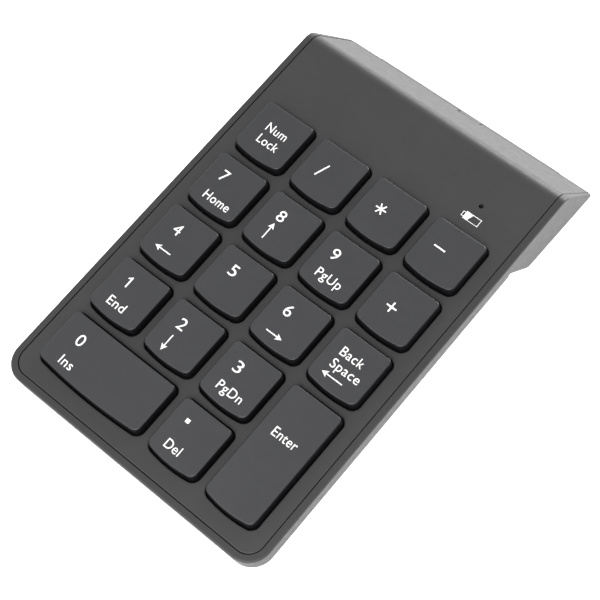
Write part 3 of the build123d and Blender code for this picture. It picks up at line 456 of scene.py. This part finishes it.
# Battery mark beside the status lamp: a thin outlined cell, its filled part cut off on a slant.
deck = surface_of("top_cover")
BX0, BX1, BY0, BY1 = 24.9, 29.6, 49.7, 51.95
NUB_X, NUB_Y0, NUB_Y1 = 24.15, 50.1, 51.55
LINE = 0.17
FILL_NEAR, FILL_FAR = 1.45, 2.1  # length of the filled part along its near and far sides
icon = [
    [(BX0, BY0), (BX1, BY0), (BX1, BY0 + LINE), (BX0, BY0 + LINE)],
    [(BX0, BY1 - LINE), (BX1, BY1 - LINE), (BX1, BY1), (BX0, BY1)],
    [(BX1 - LINE, BY0 + LINE), (BX1, BY0 + LINE), (BX1, BY1 - LINE), (BX1 - LINE, BY1 - LINE)],
    [(BX0, BY0 + LINE), (BX0 + FILL_NEAR, BY0 + LINE), (BX0 + FILL_FAR, BY1 - LINE), (BX0, BY1 - LINE)],
    [(NUB_X, NUB_Y0), (NUB_X + LINE, NUB_Y0), (NUB_X + LINE, NUB_Y1), (NUB_X, NUB_Y1)],
    [(NUB_X + LINE, NUB_Y0), (BX0, NUB_Y0), (BX0, NUB_Y0 + LINE), (NUB_X + LINE, NUB_Y0 + LINE)],
    [(NUB_X + LINE, NUB_Y1 - LINE), (BX0, NUB_Y1 - LINE), (BX0, NUB_Y1), (NUB_X + LINE, NUB_Y1)],
]
lay_on(deck, slab_mesh(icon), "battery_mark", "case")

# ---- floor, light and camera -----------------------------------------------------------------------
FLOOR_HALF = 3.0
FLOOR_DROP = 0.00005  # just below the feet, so that the two never share a plane
floor_mesh = bpy.data.meshes.new("floor")
corners = [(x * FLOOR_HALF, y * FLOOR_HALF, 0) for x, y in ((-1, -1), (1, -1), (1, 1), (-1, 1))]
floor_mesh.from_pydata(corners, [], [(0, 1, 2, 3)])
floor = bpy.data.objects.new("floor", floor_mesh)
bpy.context.scene.collection.objects.link(floor)
floor.location.z = -FLOOR_DROP
pale, _, floor_bsdf = new_material("floor_pale")
floor_bsdf.inputs["Base Color"].default_value = (0.9, 0.9, 0.9, 1)
floor_bsdf.inputs["Roughness"].default_value = 0.9
floor_bsdf.inputs["Emission Color"].default_value = (1, 1, 1, 1)
floor_bsdf.inputs["Emission Strength"].default_value = 0.9
floor_mesh.materials.append(pale)
floor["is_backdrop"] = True

world = bpy.data.worlds.new("studio")
world.use_nodes = True
sky = world.node_tree
background = sky.nodes["Background"]
# a light tent: bright walls round the object, dimmer roof
coord = sky.nodes.new("ShaderNodeTexCoord")
split = sky.nodes.new("ShaderNodeSeparateXYZ")
sky.links.new(coord.outputs["Generated"], split.inputs["Vector"])
roof = sky.nodes.new("ShaderNodeValToRGB")
roof.color_ramp.elements[0].position = 0.15
roof.color_ramp.elements[0].color = (1, 1, 1, 1)
roof.color_ramp.elements[1].position = 0.75
roof.color_ramp.elements[1].color = (0.22, 0.22, 0.22, 1)
sky.links.new(split.outputs["Z"], roof.inputs["Fac"])
sky.links.new(roof.outputs["Color"], background.inputs["Color"])
background.inputs["Strength"].default_value = 1.55
bpy.context.scene.world = world
bpy.context.scene.view_settings.view_transform = "Standard"


def softbox(name, position, target, size_x, size_y, power):
    """Rectangular area light, in metres and watts, aimed at a target."""
    light = bpy.data.lights.new(name, "AREA")
    light.shape = "RECTANGLE"
    light.size = size_x
    light.size_y = size_y
    light.energy = power
    obj = bpy.data.objects.new(name, light)
    bpy.context.scene.collection.objects.link(obj)
    obj.location = position
    obj.rotation_euler = (Vector(target) - Vector(position)).to_track_quat("-Z", "Y").to_euler()


softbox("key_light", (0.12, -0.6, 0.9), (0, -0.02, 0), 0.5, 0.5, 10)
softbox("fill_light", (0.05, 1.85, 0.45), (0, 0.04, 0), 1.2, 0.6, 40)

camera_data = bpy.data.cameras.new("camera")
camera_data.sensor_width = 36
camera_data.lens = 91.107
camera = bpy.data.objects.new("camera", camera_data)
bpy.context.scene.collection.objects.link(camera)
right = LEAN @ Vector((0.7560, 0.6420, -0.1260))
up = LEAN @ Vector((-0.5546, 0.7313, 0.3969))
right.normalize()
up = (up - right * up.dot(right)).normalized()
back = right.cross(up)
pose = Matrix((right, up, back)).transposed().to_4x4()
pose.translation = deck_point(139.39, -80.97, 347.79)
camera.matrix_world = pose
bpy.context.scene.camera = camera

low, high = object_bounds()
